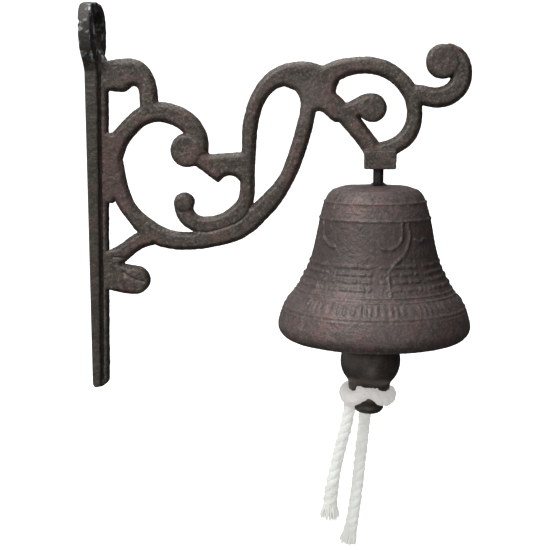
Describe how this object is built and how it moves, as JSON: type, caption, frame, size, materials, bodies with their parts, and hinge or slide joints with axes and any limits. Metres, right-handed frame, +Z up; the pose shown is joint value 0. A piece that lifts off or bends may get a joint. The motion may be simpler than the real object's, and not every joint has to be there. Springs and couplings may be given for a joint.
{
  "type": "wall mounted bell",
  "caption": "Cast bell hung from a scrolled iron wall bracket, rung by an iron clapper with a twisted pull cord.",
  "frame": {"origin": "axis of the wall screw's hole where it meets the wall", "axes": "+X out of the wall along the arm, +Z up, +Y across the wall; the scrollwork lies in the XZ plane"},
  "size_m": [0.188, 0.0934, 0.2671],
  "materials": {
    "bracket_iron": "sand-cast iron, dark grey-brown with worn patches",
    "bell_metal": "reddish-brown patina, satin",
    "hanger_steel": "blackened steel",
    "clapper_iron": "smooth dark iron",
    "cord_cotton": "twisted undyed cotton"
  },
  "bodies": {
    "bracket": {"wall_bracket": "bracket_iron", "hanger_stem": "hanger_steel", "crown_washer": "hanger_steel", "crown_nut": "hanger_steel"},
    "bell": {"bell_shell": "bell_metal"},
    "link": {"clapper_link": "hanger_steel"},
    "clapper": {"clapper_shank": "hanger_steel", "clapper_body": "clapper_iron", "cord_wrap": "cord_cotton", "cord_tail_left": "cord_cotton", "cord_tail_right": "cord_cotton"}
  },
  "joints": [
    {"name": "bell_spin", "type": "hinge", "parent": "bracket", "child": "bell", "pos_m": [0.1413, 0, -0.0771], "axis": [0, 0, 1], "continuous": true},
    {"name": "link_swing", "type": "hinge", "parent": "bracket", "child": "link", "pos_m": [0.1426, 0, -0.0892], "axis": [0, 1, 0], "range_deg": [-21.3, 19.1]},
    {"name": "clapper_sway", "type": "hinge", "parent": "link", "child": "clapper", "pos_m": [0.14233, 0, -0.09609], "axis": [0.9993, 0, -0.0384], "range_deg": [-4, 4]}
  ]
}
